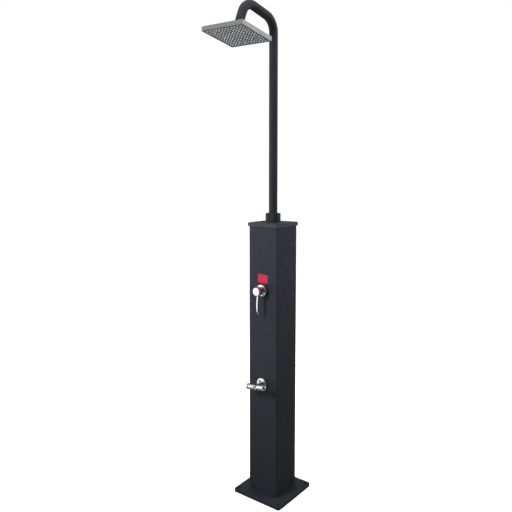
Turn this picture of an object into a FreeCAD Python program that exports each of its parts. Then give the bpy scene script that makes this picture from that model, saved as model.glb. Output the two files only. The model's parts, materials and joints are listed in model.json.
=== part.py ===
import FreeCAD, Part
import math
import os

# Outdoor shower post: a square column on a base plate, a round riser with a gooseneck, a square rain
# head, a single-lever mixer and a foot-wash tap, with the water way inside the column.
# Millimetres, +Z up, the mixer and the tap face -Y.
# The origin is the centre of the base plate's underside.

Vector = FreeCAD.Vector
X_AXIS = Vector(1, 0, 0)
Y_AXIS = Vector(0, 1, 0)
Z_AXIS = Vector(0, 0, 1)

# ---------------------------------------------------------------- driving dimensions

# gaps
running_gap = 0.3          # between a moving piece and the piece it moves in
slip_gap = 0.2             # radial gap of a fixed piece in its hole
thread_gap = 0.15          # radial gap between a plain thread and its nut

# base plate
base_side = 250.0
base_thickness = 15.0
base_corner_radius = 8.0
base_edge_chamfer = 1.0
anchor_spacing = 214.0
anchor_hole_diameter = 12.0

# column
column_side = 150.0
column_wall = 2.5
column_corner_radius = 3.0
column_length = 1212.0

# folded socket that ties the column to the base plate
socket_height = 60.0
socket_wall = 3.0
socket_flange = 24.0
base_screw_spacing = 116.0
base_screw_radius = 4.0
base_screw_head_radius = 8.0
base_screw_head_height = 4.4
base_screw_recess = 0.5
base_screw_end = 1.5       # thread that stands out of the nut
base_nut_flats = 13.0
base_nut_height = 6.5
foot_screw_height = 30.0
foot_screw_offset = 52.0
foot_screw_radius = 2.5
foot_screw_length = 12.0
foot_screw_head_radius = 4.75
foot_screw_head_height = 2.7
foot_screw_key = 3.0

# cap
cap_overhang = 5.0
cap_lip_height = 16.5
cap_top_thickness = 4.0
cap_corner_radius = 4.0
cap_edge_radius = 1.5
cap_plug_depth = 10.0
cap_plug_wall = 3.0
cap_boss_radius = 30.0
cap_rib_thickness = 3.0

# steel channel under the cap
bridge_width = 100.0
bridge_thickness = 3.0
bridge_flange = 40.0

# red patch above the mixer
label_width = 51.0
label_height = 37.0
label_thickness = 0.4
label_corner_radius = 2.0
label_rise = 50.0          # patch centre above the mixer's axis
label_lean = 2.8

# through-fitting and union nut at the riser's foot
connector_thread_radius = 13.2
connector_thread_length = 32.5
connector_bore_radius = 5.5
connector_collar_radius = 29.0
connector_collar_height = 3.5
connector_spigot_radius = 23.9
connector_spigot_height = 18.0
connector_cup_radius = 14.0
connector_cup_depth = 16.0
connector_gasket_thickness = 1.5
connector_locknut_flats = 38.0
connector_locknut_height = 8.0
riser_seal_thickness = 3.0
riser_seal_radius = 21.5
riser_ferrule_radius = 23.0
riser_ferrule_height = 6.0
riser_nut_corner_radius = 33.5
riser_nut_shoulder = 6.9
riser_nut_chamfer = 2.0
riser_nut_turn = 36.0

# riser and gooseneck
overall_height = 2150.0
riser_diameter = 38.0
riser_wall = 1.5
bend_radius = 66.0
arm_length = 88.5          # straight part between the two bends
arm_rise = 12.0            # degrees above the horizontal
drop_lean = 23.0           # degrees that the drop leans forward
drop_straight = 47.0

# swivel between the drop and the head
plug_flange = 2.0
plug_depth = 12.0
plug_thread_radius = 10.3
plug_thread_length = 9.0
plug_bore_radius = 5.5
swivel_nut_flats = 27.0
swivel_nut_shoulder = 2.2
swivel_nut_chamfer = 1.2
swivel_washer_thickness = 1.5
stud_flange_radius = 9.9
stud_flange_thickness = 1.3
stud_bearing_radius = 7.5
stud_neck_radius = 5.5
stud_bore_radius = 4.0
ball_radius = 10.5
ball_to_stud_flange = 16.0
seat_radius = 12.7
seat_height = 11.5
seat_top = 1.7             # above the ball's centre
seat_hole_radius = 6.5
collar_flats = 34.0
collar_top = 6.5           # above the ball's centre
collar_mouth_radius = 8.6
collar_chamfer = 3.5
collar_foot_gap = 0.5

# rain head
head_side = 200.0
head_height = 18.3
head_wall = 1.5
head_corner_radius = 1.5
head_lean = 8.4            # degrees that its front edge is lifted
head_turn = 2.4            # degrees about the upright
head_boss_wall = 2.8
head_boss_floor = 3.3
head_boss_top = 2.0        # above the ball's centre
face_recess = 0.8
face_thickness = 2.5
face_wall = 2.0
mat_thickness = 1.6
nozzles_per_row = 12
nozzle_pitch = 15.0
nozzle_sides = 6
nozzle_root_radius = 2.6
nozzle_tip_radius = 1.8
nozzle_stand_out = 2.0

# mixer, seen along its axis from the column's front face
mixer_height = 938.0
mixer_block_radius = 21.0
mixer_block_depth = 36.0
mixer_port_reach = 30.0
mixer_neck_radius = 16.8
mixer_neck_length = 17.0
mixer_bore_radius = 12.8
mixer_bore_floor = 8.0     # behind the column's front face
mixer_gland_seat = 12.0    # in front of the column's front face
mixer_gland_thread_radius = 14.6
mixer_channel_radius = 2.6
mixer_channel_offset = 6.5
mixer_gasket_radius = 24.0
mixer_gasket_thickness = 1.5
mixer_locknut_flats = 40.0
mixer_locknut_height = 5.0
flange_radius = 27.0
flange_sheet = 1.2
flange_shoulder = 5.5      # radius of the rounded edge between skirt and front
flange_crown = 0.8
mixer_flange_depth = 15.0
disc_thickness = 3.0
cartridge_wall = 2.2
cartridge_flange_thickness = 2.0
pivot_distance = 8.0       # lever pivot in front of the column's front face
turret_end = 14.5
turret_slot = 8.6
pivot_pin_radius = 1.5
stem_radius = 4.0
stem_tip_radius = 2.0
stem_tip_reach = 9.9
moving_disc_radius = 6.5
moving_disc_pocket = 2.4
lift_angle = 20.0
gland_ball_radius = 18.6
gland_hole_radius = 11.2
knob_radius = 20.0
knob_skirt_radius = 17.0
knob_skirt_start = 23.0
knob_body_start = 28.5
knob_end = 50.0
knob_edge_radius = 5.0
knob_crown = 1.5
knob_cavity_gap = 1.0
knob_socket_depth = 12.0
handle_screw_radius = 2.0
handle_screw_distance = 35.0
lever_start = 14.0         # below the mixer's axis
lever_end = 99.5
lever_distance = 33.6      # of its ends from the column's front face
lever_bow = 4.4
lever_width = 12.6
lever_thickness = 8.2
loft_degree = 3
# share of the lever's length, share of its width and thickness
lever_sections = (
    (0.0, 0.86),
    (0.2, 0.87),
    (0.4, 0.94),
    (0.6, 1.0),
    (0.8, 1.0),
    (0.92, 0.94),
    (0.98, 0.78),
    (1.0, 0.5),
)

# foot tap, seen along its axis from the column's front face
tap_height = 519.0
tail_radius = 10.3
tail_depth = 19.0
tail_bore_radius = 6.0
wall_gasket_radius = 16.0
wall_gasket_thickness = 1.5
wall_locknut_flats = 27.0
wall_locknut_height = 5.5
tap_shoulder_radius = 13.0
tap_shoulder_height = 3.0
tap_barrel_radius = 12.0
tap_barrel_end = 30.0
tap_mouth_radius = 11.0
tap_mouth_end = 34.0
tap_seat_front = 8.0
tap_seat_thickness = 3.0
tap_seat_hole_radius = 2.2
tap_seat_hole_offset = 4.5
tap_chamber_radius = 9.0
tap_flange_depth = 11.0
outlet_distance = 20.0
outlet_radius = 8.5
outlet_drop = 24.0
outlet_bore_radius = 6.0
insert_radius = 7.2
insert_height = 4.5
insert_wall = 1.6
insert_bar = 0.8
bonnet_flats = 20.0
bonnet_end = 41.0
bonnet_wall = 1.4
bonnet_window_radius = 4.0
bonnet_cavity_end = 26.0
spindle_radius = 4.0
spindle_disc_thickness = 3.5
spindle_collar_height = 3.0
tap_handle_start = 42.0
tap_handle_end = 60.0
tap_bar_distance = 51.0
tap_hub_radius = 11.0
tap_ball_radius = 13.0
tap_ball_offset = 41.0
tap_arm_root_radius = 8.6
tap_arm_tip_radius = 11.0
tap_handle_lean = 7.6
tap_spindle_end = 52.0
tap_screw_radius = 2.0
tap_screw_head_radius = 4.2
tap_screw_head_height = 2.6
tap_screw_recess = 2.0
tap_screw_depth = 8.0

# hose inlet in the rear face
inlet_height = 100.0
inlet_hex_flats = 26.0
inlet_hex_height = 6.0
inlet_barrel_radius = 8.6
inlet_barrel_length = 13.5
inlet_groove_radius = 7.0
inlet_groove_length = 3.0
inlet_nose_radius = 8.2
inlet_nose_length = 7.0
inlet_bore_radius = 5.0

# pipes and their fittings
pipe_radius = 6.0
pipe_wall = 1.0
pipe_bend_radius = 20.0
pipe_setback = 20.5        # pipe centre line behind the front wall's inner face
side_pipe_gap = 12.5       # pipe centre line from the side wall's inner face
pipe_lead = 24.0           # straight lead into a fitting after an oblique bend
stub_radius = 8.0
stub_length = 10.0
pipe_nut_flats = 22.0
pipe_nut_over_stub = 8.0
pipe_nut_over_pipe = 6.0
tee_radius = 12.0
tee_half_height = 14.0
tee_socket_radius = 14.0
tee_socket_depth = 10.5
manifold_radius = 13.0
manifold_half_length = 16.0
manifold_setback = 47.5    # manifold centre from the rear wall's inner face

# water tank and its shelf
tank_gap = 0.5
tank_depth = 92.0
tank_wall = 4.0
tank_corner_radius = 12.0
tank_headroom = 95.0       # from the tank's top to the channel under the cap
nipple_length = 12.0
hot_nipple_setback = 30.0  # behind the tank's front face
hot_loop_rise = 34.0
shelf_thickness = 3.0
shelf_flange = 25.0

# ---------------------------------------------------------------- derived places

column_half = column_side / 2
inner_half = column_half - column_wall
column_top = base_thickness + column_length
cap_top = column_top + cap_top_thickness
cap_side = column_side + 2 * cap_overhang
bridge_top = column_top - cap_plug_depth
bridge_bottom = bridge_top - bridge_thickness

collar_bottom = cap_top + connector_gasket_thickness
collar_top_height = collar_bottom + connector_collar_height
spigot_top = collar_top_height + connector_spigot_height
connector_thread_end = collar_bottom - connector_thread_length
connector_end = connector_thread_end - nipple_length
riser_foot = spigot_top + riser_seal_thickness + running_gap
riser_radius = riser_diameter / 2
riser_bore_radius = riser_radius - riser_wall

pipe_plane = -inner_half + pipe_setback
side_pipe = inner_half - side_pipe_gap
port_depth = column_wall + pipe_setback
stub_bore_radius = pipe_radius - pipe_wall
tank_front = inner_half - tank_gap - tank_depth
manifold_y = inner_half - manifold_setback
manifold_reach = manifold_half_length + stub_length
tank_bottom = inlet_height + manifold_reach + nipple_length
tank_top = bridge_bottom - tank_headroom
tee_reach = tee_half_height + stub_length


# ---------------------------------------------------------------- shape helpers

def block(size_x, size_y, bottom, top, x=0.0, y=0.0):
    """Box centred on x and y between two heights."""
    corner = Vector(x - size_x / 2, y - size_y / 2, bottom)
    return Part.makeBox(size_x, size_y, top - bottom, corner)


def rod(radius, bottom, top, x=0.0, y=0.0):
    """Upright cylinder between two heights."""
    return Part.makeCylinder(radius, top - bottom, Vector(x, y, bottom))


def ring(outer_radius, inner_radius, bottom, top):
    """Upright tube between two heights."""
    return rod(outer_radius, bottom, top).cut(rod(inner_radius, bottom, top))


def bar(radius, start, end):
    """Cylinder from one point to another."""
    way = end - start
    return Part.makeCylinder(radius, way.Length, start, way)


def ball(radius, height=0.0):
    """Sphere on the Z axis."""
    return Part.makeSphere(radius, Vector(0, 0, height))


def turned(outline):
    """Body of revolution about Z from a closed outline of (radius, height) points."""
    points = [Vector(radius, 0, height) for radius, height in outline]
    points.append(points[0])
    return Part.Face(Part.makePolygon(points)).revolve(Vector(0, 0, 0), Z_AXIS, 360)


def arc(start, middle, end):
    """Arc edge through three (radius, height) points of a turned outline."""
    corners = [Vector(radius, 0, height) for radius, height in (start, middle, end)]
    return Part.Arc(*corners).toShape()


def line(start, end):
    """Straight edge between two (radius, height) points of a turned outline."""
    return Part.makeLine(Vector(start[0], 0, start[1]), Vector(end[0], 0, end[1]))


def turned_edges(edges):
    """Body of revolution about Z from the edges of a closed outline."""
    return Part.Face(Part.Wire(edges)).revolve(Vector(0, 0, 0), Z_AXIS, 360)


def regular_outline(sides, corner_radius, height, x=0.0, y=0.0, turn=0.0):
    """Closed wire with equal sides, its first corner at the angle `turn` from +X."""
    corners = []
    for index in range(sides + 1):
        angle = math.radians(turn) + 2 * math.pi * index / sides
        corners.append(Vector(x + corner_radius * math.cos(angle), y + corner_radius * math.sin(angle), height))
    corners[-1] = corners[0]
    return Part.makePolygon(corners)


def corner_radius_of(sides, flats):
    """Corner radius of a prism whose opposite flats are `flats` apart."""
    return flats / 2 / math.cos(math.pi / sides)


def nut_blank(sides, corner_radius, bottom, top, chamfer, turn=0.0):
    """Prism with its corners chamfered at both ends."""
    prism = Part.Face(regular_outline(sides, corner_radius, bottom, turn=turn))
    prism = prism.extrude(Vector(0, 0, top - bottom))
    end_radius = corner_radius - chamfer * 1.5
    envelope = turned([
        (0, bottom),
        (end_radius, bottom),
        (corner_radius, bottom + chamfer),
        (corner_radius, top - chamfer),
        (end_radius, top),
        (0, top),
    ])
    return prism.common(envelope)


def hex_nut(flats, bottom, top, bore_radius, chamfer=0.8):
    """Six-sided nut with a plain bore."""
    blank = nut_blank(6, corner_radius_of(6, flats), bottom, top, chamfer)
    return blank.cut(rod(bore_radius, bottom, top))


def rounded_block(size_x, size_y, corner_radius, bottom, top, y=0.0):
    """Box with rounded upright edges."""
    solid = block(size_x, size_y, bottom, top, y=y)
    upright = [edge for edge in solid.Edges if abs(edge.tangentAt(edge.FirstParameter).z) > 0.99]
    return solid.makeFillet(corner_radius, upright)


def top_rim(solid, height):
    """Edges that lie wholly in the plane z = height."""
    return [edge for edge in solid.Edges
            if abs(edge.BoundBox.ZMin - height) < 1e-6 and abs(edge.BoundBox.ZMax - height) < 1e-6]


def placed(shape, placement):
    """Copy of a shape in another frame."""
    moved = shape.copy()
    moved.Placement = placement.multiply(moved.Placement)
    return moved


def front_frame(height):
    """Frame on the front face: local +Z points out of the wall, local +Y points up."""
    return FreeCAD.Placement(Vector(0, -column_half, height), FreeCAD.Rotation(X_AXIS, 90))


def rear_frame(height):
    """Frame on the rear face: local +Z points out of the wall, local +Y points down."""
    return FreeCAD.Placement(Vector(0, column_half, height), FreeCAD.Rotation(X_AXIS, -90))


def around_post(shape):
    """Four copies of a shape, one on each face of the post."""
    turns = [FreeCAD.Placement(Vector(), FreeCAD.Rotation(Z_AXIS, 90 * index)) for index in range(4)]
    return [placed(shape, turn) for turn in turns]


def square_pattern(spacing):
    """Corner points of a square about the Z axis."""
    half = spacing / 2
    return [(x, y) for x in (-half, half) for y in (-half, half)]


def centre_line(points, radius):
    """Straight runs through the points, joined by tangent arcs of one radius."""
    edges = []
    start = points[0]
    for before, corner, after in zip(points, points[1:], points[2:]):
        way_in = (corner - before).normalize()
        way_out = (after - corner).normalize()
        half_turn = way_in.getAngle(way_out) / 2
        reach = radius * math.tan(half_turn)
        arc_start = corner - way_in * reach
        arc_end = corner + way_out * reach
        inward = (way_out - way_in).normalize()
        arc_middle = corner + inward * (radius / math.cos(half_turn) - radius)
        edges.append(Part.makeLine(start, arc_start))
        edges.append(Part.Arc(arc_start, arc_middle, arc_end).toShape())
        start = arc_end
    edges.append(Part.makeLine(start, points[-1]))
    return Part.Wire(edges)


def bent_tube(points, bend, outer_radius, wall):
    """Tube swept along straight runs and tangent bends."""
    path = centre_line(points, bend)
    way = points[1] - points[0]
    outer = Part.Wire(Part.makeCircle(outer_radius, points[0], way))
    inner = Part.Wire(Part.makeCircle(outer_radius - wall, points[0], way))
    return path.makePipe(Part.Face(outer)).cut(path.makePipe(Part.Face(inner)))


# ---------------------------------------------------------------- foot and column

def base_screw():
    """Countersunk screw, head down, standing on z = 0."""
    head_bottom = base_screw_recess
    head_top = head_bottom + base_screw_head_height
    tip = base_thickness + socket_wall + base_nut_height + base_screw_end
    return turned([
        (0, head_bottom),
        (base_screw_head_radius, head_bottom),
        (base_screw_radius, head_top),
        (base_screw_radius, tip),
        (0, tip),
    ])


def make_base_plate():
    plate = rounded_block(base_side, base_side, base_corner_radius, 0, base_thickness)
    plate = plate.makeChamfer(base_edge_chamfer, top_rim(plate, base_thickness))
    for x, y in square_pattern(anchor_spacing):
        plate = plate.cut(rod(anchor_hole_diameter / 2, 0, base_thickness, x, y))
    head_radius = base_screw_head_radius + slip_gap
    hole_radius = base_screw_radius + slip_gap
    head_top = base_screw_recess + base_screw_head_height
    sink = turned([
        (0, 0),
        (head_radius, 0),
        (head_radius, base_screw_recess),
        (hole_radius, head_top),
        (hole_radius, base_thickness),
        (0, base_thickness),
    ])
    for x, y in square_pattern(base_screw_spacing):
        plate = plate.cut(sink.translated(Vector(x, y, 0)))
    return plate


def make_foot_socket():
    """Square upstand with an inward flange, folded from sheet, inside the column's foot."""
    outer = 2 * (inner_half - running_gap)
    bottom = base_thickness
    top = bottom + socket_height
    socket = block(outer, outer, bottom, top)
    inside = outer - 2 * socket_wall
    socket = socket.cut(block(inside, inside, bottom + socket_wall, top))
    window = inside - 2 * socket_flange
    socket = socket.cut(block(window, window, bottom, bottom + socket_wall))
    for x, y in square_pattern(base_screw_spacing):
        socket = socket.cut(rod(base_screw_radius + slip_gap, bottom, bottom + socket_wall, x, y))
    for hole in around_post(foot_screw_hole(foot_screw_radius + thread_gap)):
        socket = socket.cut(hole)
    return socket


def foot_screw_spot():
    """Frame of the front face's foot screw."""
    return FreeCAD.Placement(Vector(-foot_screw_offset, 0, 0), FreeCAD.Rotation()).multiply(
        front_frame(foot_screw_height))


def foot_screw_hole(radius):
    return placed(rod(radius, -foot_screw_length, column_wall), foot_screw_spot())


def foot_screw():
    """Button-head screw with a hexagon recess, its head on the wall."""
    screw = turned([
        (0, -foot_screw_length),
        (foot_screw_radius, -foot_screw_length),
        (foot_screw_radius, 0),
        (foot_screw_head_radius, 0),
        (foot_screw_head_radius, 0.3 * foot_screw_head_height),
        (0.7 * foot_screw_head_radius, foot_screw_head_height),
        (0, foot_screw_head_height),
    ])
    key_outline = regular_outline(6, corner_radius_of(6, foot_screw_key), foot_screw_head_height)
    key = Part.Face(key_outline).extrude(Vector(0, 0, -0.6 * foot_screw_head_height))
    return placed(screw.cut(key), foot_screw_spot())


def make_column_tube():
    tube = rounded_block(column_side, column_side, column_corner_radius, base_thickness, column_top)
    tube = tube.cut(block(2 * inner_half, 2 * inner_half, base_thickness, column_top))
    mixer_hole = rod(mixer_neck_radius + slip_gap, -2 * column_wall, column_wall)
    tail_hole = rod(tail_radius + slip_gap, -2 * column_wall, column_wall)
    tube = tube.cut(placed(mixer_hole, front_frame(mixer_height)))
    tube = tube.cut(placed(tail_hole, front_frame(tap_height)))
    tube = tube.cut(placed(tail_hole, rear_frame(inlet_height)))
    for hole in around_post(foot_screw_hole(foot_screw_radius + slip_gap)):
        tube = tube.cut(hole)
    return tube


def make_top_cap():
    """Moulded lid: outer skirt, inner plug ring, centre boss and four ribs."""
    cap = rounded_block(cap_side, cap_side, cap_corner_radius, cap_top - cap_lip_height, cap_top)
    cap = cap.makeFillet(cap_edge_radius, top_rim(cap, cap_top))
    pocket = column_side + 2 * slip_gap
    cap = cap.cut(rounded_block(pocket, pocket, column_corner_radius, cap_top - cap_lip_height, column_top))
    plug = 2 * (inner_half - running_gap)
    plug_inside = plug - 2 * cap_plug_wall
    cap = cap.fuse(block(plug, plug, bridge_top, column_top).cut(
        block(plug_inside, plug_inside, bridge_top, column_top)))
    cap = cap.fuse(rod(cap_boss_radius, bridge_top, column_top))
    cap = cap.fuse(block(plug_inside, cap_rib_thickness, bridge_top, column_top))
    cap = cap.fuse(block(cap_rib_thickness, plug_inside, bridge_top, column_top))
    cap = cap.cut(rod(connector_thread_radius + slip_gap, bridge_top, cap_top))
    return cap.removeSplitter()


def make_top_bridge():
    """Channel welded between the side walls, which carries the riser."""
    length = 2 * (inner_half - running_gap)
    channel = block(length, bridge_width, bridge_top - bridge_flange, bridge_top)
    channel = channel.cut(block(length - 2 * bridge_thickness, bridge_width, bridge_top - bridge_flange,
                                bridge_bottom))
    return channel.cut(rod(connector_thread_radius + slip_gap, bridge_bottom, bridge_top))


def make_front_label():
    patch = rounded_block(label_width, label_height, label_corner_radius, 0, label_thickness)
    patch = placed(patch, FreeCAD.Placement(Vector(), FreeCAD.Rotation(Z_AXIS, -label_lean)))
    return placed(patch, front_frame(mixer_height + label_rise))


# ---------------------------------------------------------------- riser's foot

def make_riser_connector():
    """Through-fitting: pipe stub, thread, collar on the cap, and spigot for the union nut."""
    cup_floor = spigot_top - connector_cup_depth
    return turned([
        (connector_bore_radius, connector_end),
        (stub_radius, connector_end),
        (stub_radius, connector_thread_end),
        (connector_thread_radius, connector_thread_end),
        (connector_thread_radius, collar_bottom),
        (connector_collar_radius, collar_bottom),
        (connector_collar_radius, collar_top_height),
        (connector_spigot_radius, collar_top_height),
        (connector_spigot_radius, spigot_top),
        (connector_cup_radius, spigot_top),
        (connector_cup_radius, cup_floor),
        (connector_bore_radius, cup_floor),
    ])


def make_connector_gasket():
    return ring(connector_collar_radius - 1, connector_thread_radius + slip_gap, cap_top, collar_bottom)


def make_connector_locknut():
    bottom = bridge_bottom - connector_locknut_height
    return hex_nut(connector_locknut_flats, bottom, bridge_bottom, connector_thread_radius + thread_gap)


def make_riser_seal():
    return ring(riser_seal_radius, connector_cup_radius, spigot_top, spigot_top + riser_seal_thickness)


def make_riser_nut():
    """Eight-sided union nut that traps the riser's ferrule."""
    bottom = collar_top_height + running_gap
    shoulder = riser_foot + riser_ferrule_height + running_gap
    top = shoulder + riser_nut_shoulder
    nut = nut_blank(8, riser_nut_corner_radius, bottom, top, riser_nut_chamfer, riser_nut_turn - 90)
    nut = nut.cut(rod(connector_spigot_radius + running_gap, bottom, shoulder))
    return nut.cut(rod(riser_radius + running_gap, bottom, top))


def make_riser_ferrule():
    """Ring brazed on the riser's foot."""
    return ring(riser_ferrule_radius, riser_radius + slip_gap, riser_foot, riser_foot + riser_ferrule_height)


# ---------------------------------------------------------------- gooseneck

def gooseneck_corners():
    """Corner points of the riser's centre line, from its foot to the end of the drop."""
    rise = math.radians(arm_rise)
    lean = math.radians(drop_lean)
    first_reach = bend_radius * math.tan((math.pi / 2 - rise) / 2)
    second_reach = bend_radius * math.tan((math.pi / 2 + rise - lean) / 2)
    bend_start = overall_height - riser_radius - bend_radius - arm_length * math.sin(rise)
    arm = Vector(0, -math.cos(rise), math.sin(rise))
    drop = Vector(0, -math.sin(lean), -math.cos(lean))
    foot = Vector(0, 0, riser_foot)
    first_corner = Vector(0, 0, bend_start + first_reach)
    second_corner = first_corner + arm * (first_reach + arm_length + second_reach)
    end = second_corner + drop * (second_reach + drop_straight)
    return [foot, first_corner, second_corner, end]


def make_riser_pipe():
    return bent_tube(gooseneck_corners(), bend_radius, riser_radius, riser_wall)


# ---------------------------------------------------------------- swivel and ball joint
# The plug, the nut and the ball stand in the drop's frame, the seat and the collar in the head's.

stud_flange_top = ball_to_stud_flange + stud_flange_thickness
plug_thread_end = stud_flange_top + slip_gap + swivel_washer_thickness
drop_end = plug_thread_end + plug_thread_length + plug_flange
nut_shoulder_top = ball_to_stud_flange - running_gap
head_top = -(head_boss_floor + seat_height - seat_top + slip_gap)
head_back_inside = head_top - head_wall
head_bottom = head_top - head_height


def ball_centre():
    lean = math.radians(drop_lean)
    up_the_drop = Vector(0, math.sin(lean), math.cos(lean))
    return gooseneck_corners()[-1] - up_the_drop * drop_end


def drop_frame():
    """Frame at the ball's centre, square to the drop."""
    return FreeCAD.Placement(ball_centre(), FreeCAD.Rotation(X_AXIS, -drop_lean))


def head_frame():
    """Frame at the ball's centre, square to the rain head."""
    turn = FreeCAD.Rotation(Z_AXIS, head_turn)
    return FreeCAD.Placement(ball_centre(), turn.multiply(FreeCAD.Rotation(X_AXIS, -head_lean)))


def make_outlet_plug():
    """Turned plug in the end of the drop, with the thread for the swivel."""
    return turned([
        (plug_bore_radius, plug_thread_end),
        (plug_thread_radius, plug_thread_end),
        (plug_thread_radius, drop_end - plug_flange),
        (riser_radius, drop_end - plug_flange),
        (riser_radius, drop_end),
        (riser_bore_radius - slip_gap, drop_end),
        (riser_bore_radius - slip_gap, drop_end + plug_depth),
        (plug_bore_radius, drop_end + plug_depth),
    ])


def make_swivel_nut():
    bottom = nut_shoulder_top - swivel_nut_shoulder
    top = drop_end - plug_flange - running_gap
    corner = corner_radius_of(6, swivel_nut_flats)
    nut = nut_blank(6, corner, bottom, top, swivel_nut_chamfer)
    nut = nut.cut(rod(plug_thread_radius + thread_gap, nut_shoulder_top, top))
    return nut.cut(rod(stud_bearing_radius + running_gap, bottom, top))


def make_swivel_washer():
    return ring(stud_flange_radius, plug_bore_radius, plug_thread_end - swivel_washer_thickness, plug_thread_end)


def make_swivel_ball():
    """Ball with its neck and the flange that turns inside the swivel nut."""
    nut_bottom = nut_shoulder_top - swivel_nut_shoulder
    neck_top = nut_bottom - (stud_bearing_radius - stud_neck_radius)
    stud = turned([
        (0, 0),
        (stud_neck_radius, 0),
        (stud_neck_radius, neck_top),
        (stud_bearing_radius, nut_bottom),
        (stud_bearing_radius, ball_to_stud_flange),
        (stud_flange_radius, ball_to_stud_flange),
        (stud_flange_radius, stud_flange_top),
        (0, stud_flange_top),
    ])
    return stud.fuse(ball(ball_radius)).cut(rod(stud_bore_radius, -ball_radius, stud_flange_top))


def make_ball_seat():
    """Cup ring that the ball turns in."""
    bottom = seat_top - seat_height
    seat = rod(seat_radius, bottom, seat_top).cut(ball(ball_radius + running_gap))
    return seat.cut(rod(seat_hole_radius, bottom, 0))


def make_ball_collar():
    """Six-sided threaded collar that holds the ball in the head's boss."""
    bottom = head_top + collar_foot_gap
    collar = nut_blank(6, corner_radius_of(6, collar_flats), bottom, collar_top, collar_chamfer)
    bore = seat_radius + slip_gap + head_boss_wall + thread_gap
    collar = collar.cut(rod(bore, bottom, head_boss_top + running_gap))
    collar = collar.cut(ball(ball_radius + running_gap))
    return collar.cut(rod(collar_mouth_radius, 0, collar_top))


# ---------------------------------------------------------------- rain head, in its own frame

def make_head_shell():
    """Square shell, open below, with the threaded boss for the ball."""
    shell = rounded_block(head_side, head_side, head_corner_radius, head_bottom, head_top)
    inside = head_side - 2 * head_wall
    shell = shell.cut(block(inside, inside, head_bottom, head_back_inside))
    boss_bore = seat_radius + slip_gap
    shell = shell.fuse(rod(boss_bore + head_boss_wall, head_top, head_boss_top))
    shell = shell.cut(rod(boss_bore, head_top + head_boss_floor, head_boss_top))
    return shell.cut(rod(seat_hole_radius, head_back_inside, head_top + head_boss_floor))


def nozzle_places():
    """Centres of the square grid of nozzles."""
    first = -nozzle_pitch * (nozzles_per_row - 1) / 2
    steps = [first + nozzle_pitch * index for index in range(nozzles_per_row)]
    return [(x, y) for x in steps for y in steps]


def square_wire(side, height):
    half = side / 2
    corners = [(-half, -half), (half, -half), (half, half), (-half, half), (-half, -half)]
    return Part.makePolygon([Vector(x, y, height) for x, y in corners])


face_bottom = head_bottom + face_recess
face_top = face_bottom + face_thickness
face_side = head_side - 2 * head_wall - 2 * running_gap


def make_face_plate():
    """Tray clipped into the shell, its floor pierced for every nozzle."""
    holes = [Part.Face(regular_outline(nozzle_sides, nozzle_root_radius + running_gap, face_bottom, x, y))
             for x, y in nozzle_places()]
    floor = Part.Face(square_wire(face_side, face_bottom)).cut(Part.makeCompound(holes))
    floor = floor.extrude(Vector(0, 0, face_thickness))
    inside = face_side - 2 * face_wall
    rim_top = head_back_inside - running_gap
    rim = block(face_side, face_side, face_top, rim_top).cut(block(inside, inside, face_top, rim_top))
    return floor.fuse(rim).removeSplitter()


def make_nozzle_mat():
    """Soft mat behind the tray's floor, with one tapered nozzle through each hole."""
    mat_side = face_side - 2 * face_wall - 2 * running_gap
    mat = block(mat_side, mat_side, face_top, face_top + mat_thickness)
    tip = face_bottom - nozzle_stand_out
    nozzles = []
    for x, y in nozzle_places():
        root_outline = regular_outline(nozzle_sides, nozzle_root_radius, face_top, x, y)
        tip_outline = regular_outline(nozzle_sides, nozzle_tip_radius, tip, x, y)
        nozzles.append(Part.makeLoft([root_outline, tip_outline], True, True))
    return mat.fuse(nozzles)


# ---------------------------------------------------------------- mixer, in the front face's frame

def channel_places():
    """Hot, cold and mixed channels about the mixer's axis."""
    return [(-mixer_channel_offset, 0), (mixer_channel_offset, 0), (0, mixer_channel_offset)]


def make_mixer_body():
    """Valve body behind the wall with three ports, and its neck through the wall."""
    back = -column_wall - mixer_block_depth
    body = rod(mixer_block_radius, back, -column_wall)
    body = body.fuse(rod(mixer_neck_radius, -column_wall, mixer_neck_length))
    ways = (Vector(-1, 0, 0), Vector(1, 0, 0), Vector(0, 1, 0))
    centre = Vector(0, 0, -port_depth)
    for way in ways:
        body = body.fuse(bar(stub_radius, centre, centre + way * mixer_port_reach))
    body = body.cut(rod(mixer_bore_radius, -mixer_bore_floor, mixer_neck_length))
    body = body.cut(rod(mixer_gland_thread_radius, mixer_gland_seat - cartridge_flange_thickness,
                        mixer_neck_length))
    for way in ways:
        inner_end = centre + way * mixer_channel_offset
        body = body.cut(bar(stub_bore_radius, inner_end, centre + way * mixer_port_reach))
    for x, y in channel_places():
        body = body.cut(rod(mixer_channel_radius, -port_depth, -mixer_bore_floor, x, y))
    return body.removeSplitter()


def make_mixer_gasket():
    return ring(mixer_gasket_radius, mixer_neck_radius + slip_gap, 0, mixer_gasket_thickness)


def make_mixer_locknut():
    return hex_nut(mixer_locknut_flats, mixer_gasket_thickness, mixer_gasket_thickness + mixer_locknut_height,
                   mixer_neck_radius + thread_gap)


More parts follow.
